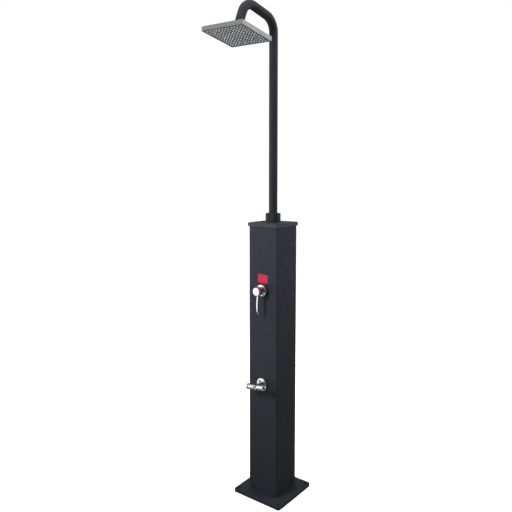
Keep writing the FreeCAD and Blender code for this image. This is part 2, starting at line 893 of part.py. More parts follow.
def wall_flange(hole_radius, depth):
    """Pressed cover on the wall: straight skirt, rounded shoulder and slightly crowned front."""
    inner_radius = flange_radius - flange_sheet
    shoulder_start = depth - flange_crown - flange_shoulder
    front_edge = (flange_radius - flange_shoulder, depth - flange_crown)
    front_back = (front_edge[0], front_edge[1] - flange_sheet)
    slant = math.sqrt(0.5)
    outer_middle = (front_edge[0] + slant * flange_shoulder, shoulder_start + slant * flange_shoulder)
    inner_middle = (front_edge[0] + slant * (flange_shoulder - flange_sheet),
                    shoulder_start + slant * (flange_shoulder - flange_sheet))
    return turned_edges([
        line((flange_radius, 0), (flange_radius, shoulder_start)),
        arc((flange_radius, shoulder_start), outer_middle, front_edge),
        line(front_edge, (hole_radius, depth)),
        line((hole_radius, depth), (hole_radius, depth - flange_sheet)),
        line((hole_radius, depth - flange_sheet), front_back),
        arc(front_back, inner_middle, (inner_radius, shoulder_start)),
        line((inner_radius, shoulder_start), (inner_radius, 0)),
        line((inner_radius, 0), (flange_radius, 0)),
    ])


def make_mixer_flange():
    return wall_flange(mixer_neck_radius + slip_gap, mixer_flange_depth)


disc_front = -mixer_bore_floor + disc_thickness
cartridge_radius = mixer_bore_radius - slip_gap
cartridge_bore_radius = cartridge_radius - cartridge_wall
turret_radius = cartridge_bore_radius - running_gap
turret_neck_radius = turret_radius - 1.4
cartridge_lip = mixer_gland_seat
stem_tip_height = pivot_distance - stem_tip_reach
moving_disc_bottom = disc_front + slip_gap
moving_disc_top = stem_tip_height + 0.2
lift_travel = stem_tip_reach * math.radians(lift_angle)


def make_mixer_fixed_disc():
    disc = rod(cartridge_radius, -mixer_bore_floor, disc_front)
    for x, y in channel_places():
        disc = disc.cut(rod(mixer_channel_radius - slip_gap, -mixer_bore_floor, disc_front, x, y))
    return disc


def make_mixer_moving_disc():
    """Disc that slides down as the lever lifts, with the pocket for the stem's tip."""
    disc = rod(moving_disc_radius, moving_disc_bottom, moving_disc_top, 0, lift_travel / 2)
    pocket_floor = stem_tip_height - stem_tip_radius - running_gap
    pocket = rod(moving_disc_pocket, pocket_floor, moving_disc_top)
    return disc.cut(pocket)


def make_mixer_cartridge():
    """Shell that holds the turret over the discs, with the flange the gland presses on."""
    flange_start = mixer_gland_seat - cartridge_flange_thickness
    shell = ring(cartridge_radius, cartridge_bore_radius, disc_front, mixer_gland_seat)
    flange = ring(mixer_gland_thread_radius - slip_gap, cartridge_radius - 0.5 * cartridge_wall,
                  flange_start, mixer_gland_seat)
    lip = ring(cartridge_bore_radius + 0.5 * cartridge_wall, turret_neck_radius + running_gap,
               flange_start, mixer_gland_seat)
    return shell.fuse([flange, lip])


def make_mixer_turret():
    """Turning core with the slot that the lever stem tilts in."""
    bottom = moving_disc_top + running_gap
    shoulder = mixer_gland_seat - cartridge_flange_thickness - running_gap
    turret = rod(turret_radius, bottom, shoulder).fuse(rod(turret_neck_radius, shoulder, turret_end))
    slot_height = 2 * (turret_neck_radius - 1.3)
    turret = turret.cut(block(turret_slot, slot_height, bottom, turret_end))
    half_pin = turret_radius
    pin_hole = bar(pivot_pin_radius + thread_gap / 3, Vector(-half_pin, 0, pivot_distance),
                   Vector(half_pin, 0, pivot_distance))
    return turret.cut(pin_hole)


def make_mixer_pin():
    half_pin = turret_radius - running_gap
    return bar(pivot_pin_radius, Vector(-half_pin, 0, pivot_distance), Vector(half_pin, 0, pivot_distance))


stem_end = knob_body_start + knob_socket_depth


def make_mixer_stem():
    """Lever stem: ball tip in the disc, eye on the pivot pin, shank in the knob."""
    shank_start = pivot_distance - 1.1 * stem_radius
    stem = turned([
        (0, stem_tip_height),
        (0.7 * stem_tip_radius, stem_tip_height),
        (0.7 * stem_tip_radius, shank_start - 1),
        (stem_radius, shank_start),
        (stem_radius, stem_end),
        (0, stem_end),
    ])
    stem = stem.fuse(ball(stem_tip_radius, stem_tip_height))
    eye = bar(pivot_pin_radius + slip_gap, Vector(-stem_radius, 0, pivot_distance),
              Vector(stem_radius, 0, pivot_distance))
    return stem.cut(eye)


def make_mixer_gland():
    """Retaining nut with the ball-shaped front that the knob turns on."""
    thread_radius = mixer_gland_thread_radius - thread_gap
    rim_radius = math.sqrt(gland_ball_radius ** 2 - (mixer_neck_length - pivot_distance) ** 2)
    front = pivot_distance + math.sqrt(gland_ball_radius ** 2 - (gland_hole_radius + 0.6) ** 2)
    middle_height = (mixer_neck_length + front) / 2
    middle_radius = math.sqrt(gland_ball_radius ** 2 - (middle_height - pivot_distance) ** 2)
    inner_front = (gland_hole_radius, front)
    inner_back = (gland_hole_radius, mixer_gland_seat)
    thread_back = (thread_radius, mixer_gland_seat)
    thread_front = (thread_radius, mixer_neck_length)
    rim = (rim_radius, mixer_neck_length)
    outer_front = (gland_hole_radius + 0.6, front)
    return turned_edges([
        line(inner_front, inner_back),
        line(inner_back, thread_back),
        line(thread_back, thread_front),
        line(thread_front, rim),
        arc(rim, (middle_radius, middle_height), outer_front),
        line(outer_front, inner_front),
    ])


def knob():
    """Turned knob with a hollow back that fits over the gland's ball."""
    cavity_radius = gland_ball_radius + knob_cavity_gap
    cavity_rim = math.sqrt(cavity_radius ** 2 - (knob_skirt_start - pivot_distance) ** 2)
    cavity_top = pivot_distance + cavity_radius
    cavity_middle_height = (knob_skirt_start + cavity_top) / 2
    cavity_middle = math.sqrt(cavity_radius ** 2 - (cavity_middle_height - pivot_distance) ** 2)
    shoulder = knob_end - knob_crown
    edge_inner = knob_radius - knob_edge_radius
    edge_slant = knob_edge_radius * math.sqrt(0.5)
    crown_radius = (edge_inner ** 2 + knob_crown ** 2) / (2 * knob_crown)
    crown_middle = crown_radius * math.sin(math.asin(edge_inner / crown_radius) / 2)
    crown_middle_height = knob_end - crown_radius + math.sqrt(crown_radius ** 2 - crown_middle ** 2)
    outline = [
        arc((0, knob_end), (crown_middle, crown_middle_height), (edge_inner, shoulder)),
        arc((edge_inner, shoulder), (edge_inner + edge_slant, shoulder - knob_edge_radius + edge_slant),
            (knob_radius, shoulder - knob_edge_radius)),
        line((knob_radius, shoulder - knob_edge_radius), (knob_radius, knob_body_start)),
        line((knob_radius, knob_body_start), (knob_skirt_radius, knob_skirt_start)),
        line((knob_skirt_radius, knob_skirt_start), (cavity_rim, knob_skirt_start)),
        arc((cavity_rim, knob_skirt_start), (cavity_middle, cavity_middle_height), (0, cavity_top)),
        line((0, cavity_top), (0, knob_end)),
    ]
    return turned_edges(outline)


def lever():
    """Cast lever lofted through oval sections along its gentle bow."""
    sections = []
    for share, size in lever_sections:
        drop = lever_start + share * (lever_end - lever_start)
        distance = lever_distance + lever_bow * 4 * share * (1 - share)
        centre = Vector(0, -drop, distance)
        way = Vector(0, lever_start - lever_end, lever_bow * 4 * (1 - 2 * share))
        flat_way = X_AXIS.cross(way).normalize()
        oval = Part.Ellipse(centre + X_AXIS * (size * lever_width / 2),
                            centre + flat_way * (size * lever_thickness / 2), centre)
        sections.append(Part.Wire(oval.toShape()))
    return Part.makeLoft(sections, True, False, False, loft_degree)


def make_mixer_handle():
    handle = knob().fuse(lever())
    handle = handle.cut(rod(stem_radius + thread_gap, pivot_distance, stem_end))
    screw_hole = bar(handle_screw_radius + thread_gap, Vector(-knob_radius, 0, handle_screw_distance),
                     Vector(0, 0, handle_screw_distance))
    return handle.cut(screw_hole)


def make_handle_screw():
    """Grub screw that clamps the stem."""
    outer = knob_radius - 2 * handle_screw_radius
    return bar(handle_screw_radius, Vector(-outer, 0, handle_screw_distance),
               Vector(-stem_radius - thread_gap, 0, handle_screw_distance))


# ---------------------------------------------------------------- foot tap, in the front face's frame

def wall_gasket():
    return ring(wall_gasket_radius, tail_radius + slip_gap, 0, wall_gasket_thickness)


def wall_locknut():
    return hex_nut(wall_locknut_flats, -column_wall - wall_locknut_height, -column_wall,
                   tail_radius + thread_gap)


def make_tap_flange():
    return wall_flange(tap_shoulder_radius + slip_gap, tap_flange_depth)


def make_tap_body():
    """Barrel with its tail through the wall, the pierced seat and a short outlet below."""
    shoulder_end = wall_gasket_thickness + tap_shoulder_height
    body = turned([
        (0, -tail_depth),
        (tail_radius, -tail_depth),
        (tail_radius, wall_gasket_thickness),
        (tap_shoulder_radius, wall_gasket_thickness),
        (tap_shoulder_radius, shoulder_end),
        (tap_barrel_radius, shoulder_end),
        (tap_barrel_radius, tap_barrel_end),
        (tap_mouth_radius, tap_barrel_end),
        (tap_mouth_radius, tap_mouth_end),
        (0, tap_mouth_end),
    ])
    centre = Vector(0, 0, outlet_distance)
    outlet_end = Vector(0, -outlet_drop, outlet_distance)
    insert_floor = Vector(0, -outlet_drop + insert_height, outlet_distance)
    body = body.fuse(bar(outlet_radius, centre, outlet_end))
    body = body.cut(rod(tail_bore_radius, -tail_depth, tap_seat_front - tap_seat_thickness))
    body = body.cut(rod(tap_chamber_radius, tap_seat_front, tap_mouth_end))
    body = body.cut(bar(outlet_bore_radius, centre, outlet_end))
    body = body.cut(bar(insert_radius, insert_floor, outlet_end))
    for x in (-tap_seat_hole_offset, tap_seat_hole_offset):
        body = body.cut(rod(tap_seat_hole_radius, tap_seat_front - tap_seat_thickness, tap_seat_front, x, 0))
    return body.removeSplitter()


def make_tap_outlet_insert():
    """Flow straightener in the outlet's mouth."""
    radius = insert_radius - slip_gap
    inner = radius - insert_wall
    insert = ring(radius, inner, 0, insert_height)
    insert = insert.fuse(block(2 * radius - insert_wall, insert_bar, 0, insert_height))
    insert = insert.fuse(block(insert_bar, 2 * radius - insert_wall, 0, insert_height))
    down = FreeCAD.Placement(Vector(0, -outlet_drop + insert_height, outlet_distance),
                             FreeCAD.Rotation(X_AXIS, 90))
    return placed(insert, down)


spindle_disc_end = tap_seat_front + running_gap + spindle_disc_thickness
bonnet_start = spindle_disc_end + running_gap
bonnet_radius = tap_chamber_radius - slip_gap
bonnet_cavity_radius = bonnet_radius - bonnet_wall


def make_tap_bonnet():
    """Headwork screwed into the barrel: side window for the water, hexagon outside."""
    bonnet = rod(bonnet_radius, bonnet_start, tap_mouth_end)
    head = nut_blank(6, corner_radius_of(6, bonnet_flats), tap_mouth_end, bonnet_end, 0.8)
    bonnet = bonnet.fuse(head)
    bonnet = bonnet.cut(rod(bonnet_cavity_radius, bonnet_start, bonnet_cavity_end))
    bonnet = bonnet.cut(rod(spindle_radius + running_gap, bonnet_start, bonnet_end))
    window = bar(bonnet_window_radius, Vector(0, 0, outlet_distance), Vector(0, -bonnet_radius, outlet_distance))
    return bonnet.cut(window).removeSplitter()


def make_tap_spindle():
    """Spindle with the disc that opens the seat's two holes after a quarter turn."""
    disc_start = tap_seat_front + running_gap
    disc_radius = bonnet_cavity_radius - running_gap
    collar_start = bonnet_cavity_end - running_gap - spindle_collar_height
    spindle = rod(disc_radius, disc_start, spindle_disc_end)
    spindle = spindle.fuse([
        rod(spindle_radius, spindle_disc_end, tap_spindle_end),
        rod(disc_radius, collar_start, collar_start + spindle_collar_height),
    ])
    for y in (-tap_seat_hole_offset, tap_seat_hole_offset):
        spindle = spindle.cut(rod(tap_seat_hole_radius, disc_start, spindle_disc_end, 0, y))
    screw_hole = rod(tap_screw_radius + thread_gap, tap_spindle_end - tap_screw_depth, tap_spindle_end)
    return spindle.cut(screw_hole).removeSplitter()


def tap_bar():
    """T-bar turned in one piece, with a ball at each end, along local X."""
    junction = tap_ball_offset - math.sqrt(tap_ball_radius ** 2 - tap_arm_tip_radius ** 2)
    bar_end = tap_ball_offset + tap_ball_radius
    outline = [
        arc((0, -bar_end), (tap_ball_radius, -tap_ball_offset), (tap_arm_tip_radius, -junction)),
        line((tap_arm_tip_radius, -junction), (tap_arm_root_radius, 0)),
        line((tap_arm_root_radius, 0), (tap_arm_tip_radius, junction)),
        arc((tap_arm_tip_radius, junction), (tap_ball_radius, tap_ball_offset), (0, bar_end)),
        line((0, bar_end), (0, -bar_end)),
    ]
    lying = FreeCAD.Placement(Vector(0, 0, tap_bar_distance), FreeCAD.Rotation(Y_AXIS, 90))
    return placed(turned_edges(outline), lying)


def make_tap_handle():
    """T-bar with ball ends on a round hub."""
    edge = 0.25 * tap_hub_radius
    hub = turned([
        (0, tap_handle_start),
        (tap_hub_radius - edge, tap_handle_start),
        (tap_hub_radius, tap_handle_start + edge),
        (tap_hub_radius, tap_handle_end - edge),
        (tap_hub_radius - edge, tap_handle_end),
        (0, tap_handle_end),
    ])
    handle = hub.fuse(tap_bar())
    handle = handle.cut(rod(spindle_radius + thread_gap, 0, tap_spindle_end + running_gap))
    handle = handle.cut(rod(tap_screw_radius + slip_gap, tap_spindle_end, tap_handle_end))
    head_floor = tap_handle_end - tap_screw_recess
    handle = handle.cut(rod(tap_screw_head_radius + slip_gap, head_floor, tap_handle_end))
    lean = FreeCAD.Placement(Vector(), FreeCAD.Rotation(Z_AXIS, tap_handle_lean))
    return placed(handle.removeSplitter(), lean)


def make_tap_handle_screw():
    head_floor = tap_handle_end - tap_screw_recess
    tip = tap_spindle_end - tap_screw_depth + running_gap
    return turned([
        (0, tip),
        (tap_screw_radius, tip),
        (tap_screw_radius, head_floor),
        (tap_screw_head_radius, head_floor),
        (tap_screw_head_radius, head_floor + 0.5 * tap_screw_head_height),
        (0.6 * tap_screw_head_radius, head_floor + tap_screw_head_height),
        (0, head_floor + tap_screw_head_height),
    ])


# ---------------------------------------------------------------- water way

manifold_rear = manifold_y + manifold_half_length


def make_hose_inlet():
    """Garden-hose plug outside the rear wall, its tail in the manifold; in the rear face's frame."""
    tail_end = column_half - manifold_rear + tee_socket_depth - running_gap
    hexagon_end = wall_gasket_thickness + inlet_hex_height
    barrel_end = hexagon_end + inlet_barrel_length
    groove_end = barrel_end + inlet_groove_length
    nose_end = groove_end + inlet_nose_length
    plug = turned([
        (0, -tail_end),
        (tail_radius, -tail_end),
        (tail_radius, wall_gasket_thickness),
        (inlet_barrel_radius, wall_gasket_thickness),
        (inlet_barrel_radius, barrel_end),
        (inlet_groove_radius, barrel_end),
        (inlet_groove_radius, groove_end),
        (inlet_nose_radius, groove_end),
        (inlet_nose_radius, nose_end - 2),
        (inlet_nose_radius - 1.5, nose_end),
        (0, nose_end),
    ])
    corner = corner_radius_of(6, inlet_hex_flats)
    plug = plug.fuse(nut_blank(6, corner, wall_gasket_thickness, hexagon_end, 0.8))
    return plug.cut(rod(inlet_bore_radius, -tail_end, nose_end))


def make_inlet_manifold():
    """Brass tee: hose tail behind, cold pipe in front, tank above."""
    centre = Vector(0, manifold_y, inlet_height)
    rear = centre + Y_AXIS * manifold_half_length
    front = centre - Y_AXIS * manifold_half_length
    front_end = centre - Y_AXIS * manifold_reach
    top_end = centre + Z_AXIS * manifold_reach
    body = bar(manifold_radius, front, rear)
    body = body.fuse([bar(stub_radius, centre, front_end), bar(stub_radius, centre, top_end)])
    socket = bar(tail_radius + thread_gap, rear - Y_AXIS * tee_socket_depth, rear)
    passages = [
        socket,
        bar(stub_bore_radius, front_end, rear),
        bar(stub_bore_radius, centre, top_end),
    ]
    return body.cut(passages)


def make_tap_tee():
    """Brass tee on the cold pipe that carries the foot tap's tail."""
    centre = Vector(0, pipe_plane, tap_height)
    face = -column_half + tail_depth - tee_socket_depth + running_gap
    socket_face = Vector(0, face, tap_height)
    low_end = centre - Z_AXIS * tee_reach
    high_end = centre + Z_AXIS * tee_reach
    body = bar(tee_radius, centre - Z_AXIS * tee_half_height, centre + Z_AXIS * tee_half_height)
    body = body.fuse([bar(stub_radius, low_end, high_end), bar(tee_socket_radius, centre, socket_face)])
    passages = [
        bar(stub_bore_radius, low_end, high_end),
        bar(tail_radius + thread_gap, socket_face + Y_AXIS * tee_socket_depth, socket_face),
        bar(tail_bore_radius, centre, socket_face),
    ]
    return body.cut(passages)


def make_water_tank():
    """Blow-moulded tank that fills the rear of the column, with a nipple at each end."""
    width = 2 * (inner_half - tank_gap)
    centre_y = tank_front + tank_depth / 2
    tank = rounded_block(width, tank_depth, tank_corner_radius, tank_bottom, tank_top, y=centre_y)
    cavity = rounded_block(width - 2 * tank_wall, tank_depth - 2 * tank_wall, tank_corner_radius - tank_wall,
                           tank_bottom + tank_wall, tank_top - tank_wall, y=centre_y)
    hot_x = -side_pipe
    hot_y = tank_front + hot_nipple_setback
    tank = tank.fuse([
        rod(stub_radius, tank_bottom - nipple_length, tank_bottom, 0, manifold_y),
        rod(stub_radius, tank_top, tank_top + nipple_length, hot_x, hot_y),
    ])
    return tank.cut([
        cavity,
        rod(stub_bore_radius, tank_bottom - nipple_length, tank_bottom + tank_wall, 0, manifold_y),
        rod(stub_bore_radius, tank_top - tank_wall, tank_top + nipple_length, hot_x, hot_y),
    ])


def make_tank_shelf():
    """Folded shelf welded between the side walls, under the tank."""
    length = 2 * (inner_half - running_gap)
    depth = tank_depth - tank_corner_radius
    centre_y = tank_front + tank_depth / 2
    shelf = block(length, depth, tank_bottom - shelf_flange, tank_bottom, y=centre_y)
    shelf = shelf.cut(block(length - 2 * shelf_thickness, depth, tank_bottom - shelf_flange,
                            tank_bottom - shelf_thickness, y=centre_y))
    return shelf.cut(rod(stub_radius + running_gap, tank_bottom - shelf_thickness, tank_bottom, 0, manifold_y))


def water_pipe(points):
    return bent_tube(points, pipe_bend_radius, pipe_radius, pipe_wall)


def make_lower_cold_pipe():
    return water_pipe([
        Vector(0, manifold_y - manifold_reach, inlet_height),
        Vector(0, pipe_plane, inlet_height),
        Vector(0, pipe_plane, tap_height - tee_reach),
    ])


def make_upper_cold_pipe():
    shift_top = mixer_height - 2 * side_pipe
    return water_pipe([
        Vector(0, pipe_plane, tap_height + tee_reach),
        Vector(0, pipe_plane, shift_top - side_pipe),
        Vector(side_pipe, pipe_plane, shift_top),
        Vector(side_pipe, pipe_plane, mixer_height),
        Vector(mixer_port_reach, pipe_plane, mixer_height),
    ])


def make_hot_pipe():
    start_y = tank_front + hot_nipple_setback
    loop = tank_top + nipple_length + hot_loop_rise
    return water_pipe([
        Vector(-side_pipe, start_y, tank_top + nipple_length),
        Vector(-side_pipe, start_y, loop),
        Vector(-side_pipe, pipe_plane, loop),
        Vector(-side_pipe, pipe_plane, mixer_height),
        Vector(-mixer_port_reach, pipe_plane, mixer_height),
    ])


def make_mixed_pipe():
    shift_top = connector_end - pipe_lead
    return water_pipe([
        Vector(0, pipe_plane, mixer_height + mixer_port_reach),
        Vector(0, pipe_plane, shift_top + pipe_plane),
        Vector(0, 0, shift_top),
        Vector(0, 0, connector_end),
    ])


def pipe_nut(joint, way, far_radius):
    """Union nut over a stub's end; `way` points from the stub along the pipe."""
    corner = corner_radius_of(6, pipe_nut_flats)
    blank = nut_blank(6, corner, -pipe_nut_over_stub, pipe_nut_over_pipe, 0.8, turn=30)
    blank = blank.cut(rod(stub_radius + thread_gap, -pipe_nut_over_stub, 0))
    blank = blank.cut(rod(far_radius + thread_gap, -pipe_nut_over_stub, pipe_nut_over_pipe))
    return placed(blank, FreeCAD.Placement(joint, FreeCAD.Rotation(Z_AXIS, way)))


def make_pipe_nuts():
    joints = [
        (Vector(0, manifold_y - manifold_reach, inlet_height), -Y_AXIS, pipe_radius),
        (Vector(0, manifold_y, inlet_height + manifold_reach), Z_AXIS, stub_radius),
        (Vector(0, pipe_plane, tap_height - tee_reach), -Z_AXIS, pipe_radius),
        (Vector(0, pipe_plane, tap_height + tee_reach), Z_AXIS, pipe_radius),
        (Vector(mixer_port_reach, pipe_plane, mixer_height), X_AXIS, pipe_radius),
        (Vector(-mixer_port_reach, pipe_plane, mixer_height), -X_AXIS, pipe_radius),
        (Vector(0, pipe_plane, mixer_height + mixer_port_reach), Z_AXIS, pipe_radius),
        (Vector(-side_pipe, tank_front + hot_nipple_setback, tank_top + nipple_length), Z_AXIS, pipe_radius),
        (Vector(0, 0, connector_end), -Z_AXIS, pipe_radius),
    ]
    return Part.makeCompound([pipe_nut(joint, way, far_radius) for joint, way, far_radius in joints])


# ---------------------------------------------------------------- assembly

def at_base_screws(shape):
    """Four copies of a shape, one at each base screw."""
    return Part.makeCompound([shape.translated(Vector(x, y, 0)) for x, y in square_pattern(base_screw_spacing)])


def assemble():
    """All pieces in the post's frame, by node name."""
    mixer = front_frame(mixer_height)
    tap = front_frame(tap_height)
    inlet = rear_frame(inlet_height)
    nut_bottom = base_thickness + socket_wall
    base_nut = hex_nut(base_nut_flats, nut_bottom, nut_bottom + base_nut_height, base_screw_radius + thread_gap)
    pieces = {
        "base_plate": make_base_plate(),
        "foot_socket": make_foot_socket(),
        "base_screws": at_base_screws(base_screw()),
        "base_nuts": at_base_screws(base_nut),
        "foot_screws": Part.makeCompound(around_post(foot_screw())),
        "column_tube": make_column_tube(),
        "top_cap": make_top_cap(),
        "top_bridge": make_top_bridge(),
        "front_label": make_front_label(),
        "riser_connector": make_riser_connector(),
        "connector_gasket": make_connector_gasket(),
        "connector_locknut": make_connector_locknut(),
        "riser_seal": make_riser_seal(),
        "riser_nut": make_riser_nut(),
        "riser_ferrule": make_riser_ferrule(),
        "riser_pipe": make_riser_pipe(),
        "wall_gaskets": Part.makeCompound([placed(wall_gasket(), tap), placed(wall_gasket(), inlet)]),
        "wall_locknuts": Part.makeCompound([placed(wall_locknut(), tap), placed(wall_locknut(), inlet)]),
        "hose_inlet": placed(make_hose_inlet(), inlet),
        "inlet_manifold": make_inlet_manifold(),
        "tap_tee": make_tap_tee(),
        "water_tank": make_water_tank(),
        "tank_shelf": make_tank_shelf(),
        "lower_cold_pipe": make_lower_cold_pipe(),
        "upper_cold_pipe": make_upper_cold_pipe(),
        "hot_pipe": make_hot_pipe(),
        "mixed_pipe": make_mixed_pipe(),
        "pipe_nuts": make_pipe_nuts(),
    }
    drop_pieces = {
        "outlet_plug": make_outlet_plug,
        "swivel_nut": make_swivel_nut,
        "swivel_washer": make_swivel_washer,
        "swivel_ball": make_swivel_ball,
    }
    head_pieces = {
        "ball_seat": make_ball_seat,
        "ball_collar": make_ball_collar,
        "head_shell": make_head_shell,
        "face_plate": make_face_plate,
        "nozzle_mat": make_nozzle_mat,
    }
    mixer_pieces = {
        "mixer_body": make_mixer_body,
        "mixer_gasket": make_mixer_gasket,
        "mixer_locknut": make_mixer_locknut,
        "mixer_flange": make_mixer_flange,
        "mixer_fixed_disc": make_mixer_fixed_disc,
        "mixer_moving_disc": make_mixer_moving_disc,
        "mixer_cartridge": make_mixer_cartridge,
        "mixer_turret": make_mixer_turret,
        "mixer_pin": make_mixer_pin,
        "mixer_stem": make_mixer_stem,
        "mixer_gland": make_mixer_gland,
        "mixer_handle": make_mixer_handle,
        "handle_screw": make_handle_screw,
    }
    tap_pieces = {
        "tap_flange": make_tap_flange,
        "tap_body": make_tap_body,
        "tap_outlet_insert": make_tap_outlet_insert,
        "tap_bonnet": make_tap_bonnet,
        "tap_spindle": make_tap_spindle,
        "tap_handle": make_tap_handle,
        "tap_handle_screw": make_tap_handle_screw,
    }
    groups = (
        (drop_frame(), drop_pieces),
        (head_frame(), head_pieces),
        (mixer, mixer_pieces),
        (tap, tap_pieces),
    )
    for frame, makers in groups:
        for name, make in makers.items():
            pieces[name] = placed(make(), frame)
    return pieces


os.makedirs("parts", exist_ok=True)
for name, shape in assemble().items():
    shape.exportStep("parts/" + name + ".step")
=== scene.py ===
import json
import math

import bmesh
import bpy
from mathutils import Matrix, Vector


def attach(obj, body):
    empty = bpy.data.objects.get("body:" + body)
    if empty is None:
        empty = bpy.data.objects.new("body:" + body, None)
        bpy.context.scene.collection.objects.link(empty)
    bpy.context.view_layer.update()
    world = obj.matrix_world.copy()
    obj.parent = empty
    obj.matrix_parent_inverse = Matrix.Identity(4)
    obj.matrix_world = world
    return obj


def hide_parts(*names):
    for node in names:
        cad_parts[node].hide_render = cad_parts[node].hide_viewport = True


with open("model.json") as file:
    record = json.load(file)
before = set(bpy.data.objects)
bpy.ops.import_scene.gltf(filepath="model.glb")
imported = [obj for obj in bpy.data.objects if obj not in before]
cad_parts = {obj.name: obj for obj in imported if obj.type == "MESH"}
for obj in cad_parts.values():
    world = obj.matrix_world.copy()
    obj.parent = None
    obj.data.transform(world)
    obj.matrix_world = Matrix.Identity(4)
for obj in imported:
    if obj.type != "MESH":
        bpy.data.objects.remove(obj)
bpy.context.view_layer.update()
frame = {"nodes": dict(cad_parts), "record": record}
nodes = frame["nodes"]

MILLIMETRE = 0.001


# ---------------------------------------------------------------- node trees

UNSTRETCHED = (1, 1, 1)


class Nodes:
    """Short ways to add nodes to a tree and to join them."""

    def __init__(self, tree):
        self.tree = tree

    def node(self, kind, **settings):
        made = self.tree.nodes.new(kind)
        for key, value in settings.items():
            setattr(made, key, value)
        return made

    def feed(self, value, socket):
        """Links an output to the socket, or sets the socket to a constant."""
        if isinstance(value, bpy.types.NodeSocket):
            self.tree.links.new(value, socket)
        else:
            socket.default_value = value

    def maths(self, operation, *values):
        made = self.node("ShaderNodeMath", operation=operation)
        for value, socket in zip(values, made.inputs):
            self.feed(value, socket)
        return made.outputs["Value"]

    def dot(self, first, second):
        made = self.node("ShaderNodeVectorMath", operation="DOT_PRODUCT")
        self.feed(first, made.inputs[0])
        self.feed(second, made.inputs[1])
        return made.outputs["Value"]

    def blend(self, kind, share, first, second):
        made = self.node("ShaderNodeMix", data_type=kind)
        self.feed(share, made.inputs["Factor"])
        self.feed(first, made.inputs["A"])
        self.feed(second, made.inputs["B"])
        return made.outputs["Result"]

    def ease(self, value, low, high, top=1.0):
        """0 where the value is at low, top where it is at high, and a smooth step between."""
        made = self.node("ShaderNodeMapRange", interpolation_type="SMOOTHSTEP")
        self.feed(value, made.inputs["Value"])
        self.feed(low, made.inputs["From Min"])
        self.feed(high, made.inputs["From Max"])
        self.feed(top, made.inputs["To Max"])
        return made.outputs["Result"]


# ---------------------------------------------------------------- finishes

EDGE_SAMPLES = 4
# cosines between a face's own normal and the rounded one, on open faces and at sharp edges
OPEN_FACE = 0.995
SHARP_EDGE = 0.90
# metres above the ground that dust reaches
DUST_HEIGHT = 0.16
DUST_COLOUR = (0.13, 0.125, 0.12)
# painted highlight: near-white steel laid along the edges of the brushed head
STEEL_EDGE_HIGHLIGHT = (0.80, 0.80, 0.81)
ZINC_BLOOM = (0.62, 0.62, 0.60)
FADED_VINYL = (0.56, 0.05, 0.09)
MINERAL_BLOOM = (0.66, 0.67, 0.66)
# size of the X part of a face's normal, where the brushing turns from along X to along Y
FRONT_FACE = 0.6
SIDE_FACE = 0.8


def shade(colour, factor):
    return [channel * factor for channel in colour]


class Finish(Nodes):
    """Material with grain, wear, painted edge highlights and relief, whose scales count features
    per metre of the object.
    """

    def __init__(self, name, colour, roughness, metallic=0.0, specular=0.5):
        self.material = bpy.data.materials.new(name)
        self.material.use_nodes = True
        super().__init__(self.material.node_tree)
        self.shader = self.tree.nodes["Principled BSDF"]
        self.feed(metallic, self.shader.inputs["Metallic"])
        self.feed(specular, self.shader.inputs["Specular IOR Level"])
        self.place = self.node("ShaderNodeTexCoord").outputs["Object"]
        self.colour = (*colour, 1)
        self.rough = roughness
        self.normal = None

    def noise(self, scale, detail, stretch=UNSTRETCHED):
        mapping = self.node("ShaderNodeMapping")
        self.feed(self.place, mapping.inputs["Vector"])
        self.feed(stretch, mapping.inputs["Scale"])
        made = self.node("ShaderNodeTexNoise")
        self.feed(mapping.outputs["Vector"], made.inputs["Vector"])
        self.feed(scale, made.inputs["Scale"])
        self.feed(detail, made.inputs["Detail"])
        return made.outputs["Fac"]

    def patches(self, scale, detail, low, high, stretch=UNSTRETCHED):
        """Mask with soft patches where the noise passes from low to high."""
        return self.ease(self.noise(scale, detail, stretch), low, high)

    def cells(self, scale, feature="F1"):
        made = self.node("ShaderNodeTexVoronoi", feature=feature)
        self.feed(self.place, made.inputs["Vector"])
        self.feed(scale, made.inputs["Scale"])
        return made.outputs["Distance"]

    def below(self, height):
        """Mask that grows from 0 at the height, in metres, to 1 on the ground."""
        split = self.node("ShaderNodeSeparateXYZ")
        self.feed(self.place, split.inputs["Vector"])
        return self.ease(split.outputs["Z"], height, 0.0)

    def sides(self):
        """Mask that is 1 on faces that look along X."""
        split = self.node("ShaderNodeSeparateXYZ")
        self.feed(self.node("ShaderNodeTexCoord").outputs["Normal"], split.inputs["Vector"])
        return self.ease(self.maths("ABSOLUTE", split.outputs["X"]), FRONT_FACE, SIDE_FACE)

    def edges(self, radius):
        """Mask that is 1 along sharp edges, for a radius in millimetres."""
        bevel = self.node("ShaderNodeBevel", samples=EDGE_SAMPLES)
        self.feed(radius * MILLIMETRE, bevel.inputs["Radius"])
        geometry = self.node("ShaderNodeNewGeometry")
        likeness = self.dot(bevel.outputs["Normal"], geometry.outputs["Normal"])
        return self.ease(likeness, OPEN_FACE, SHARP_EDGE)

    def tint(self, mask, colour, share):
        """Paints a share of another colour where the mask is 1."""
        share = self.maths("MULTIPLY", mask, share)
        self.colour = self.blend("RGBA", share, self.colour, (*colour, 1))

    def vary(self, mask, change):
        """Adds the change to the roughness where the mask is 1."""
        self.rough = self.maths("MULTIPLY_ADD", mask, change, self.rough)

    def relief(self, height, depth, strength):
        """Bumps of the given depth in millimetres."""
        made = self.node("ShaderNodeBump")
        self.feed(strength, made.inputs["Strength"])
        self.feed(depth * MILLIMETRE, made.inputs["Distance"])
        self.feed(height, made.inputs["Height"])
        if self.normal is not None:
            self.feed(self.normal, made.inputs["Normal"])
        self.normal = made.outputs["Normal"]

    def done(self):
        self.feed(self.colour, self.shader.inputs["Base Color"])
        self.feed(self.rough, self.shader.inputs["Roughness"])
        if self.normal is not None:
            self.feed(self.normal, self.shader.inputs["Normal"])
        return self.material


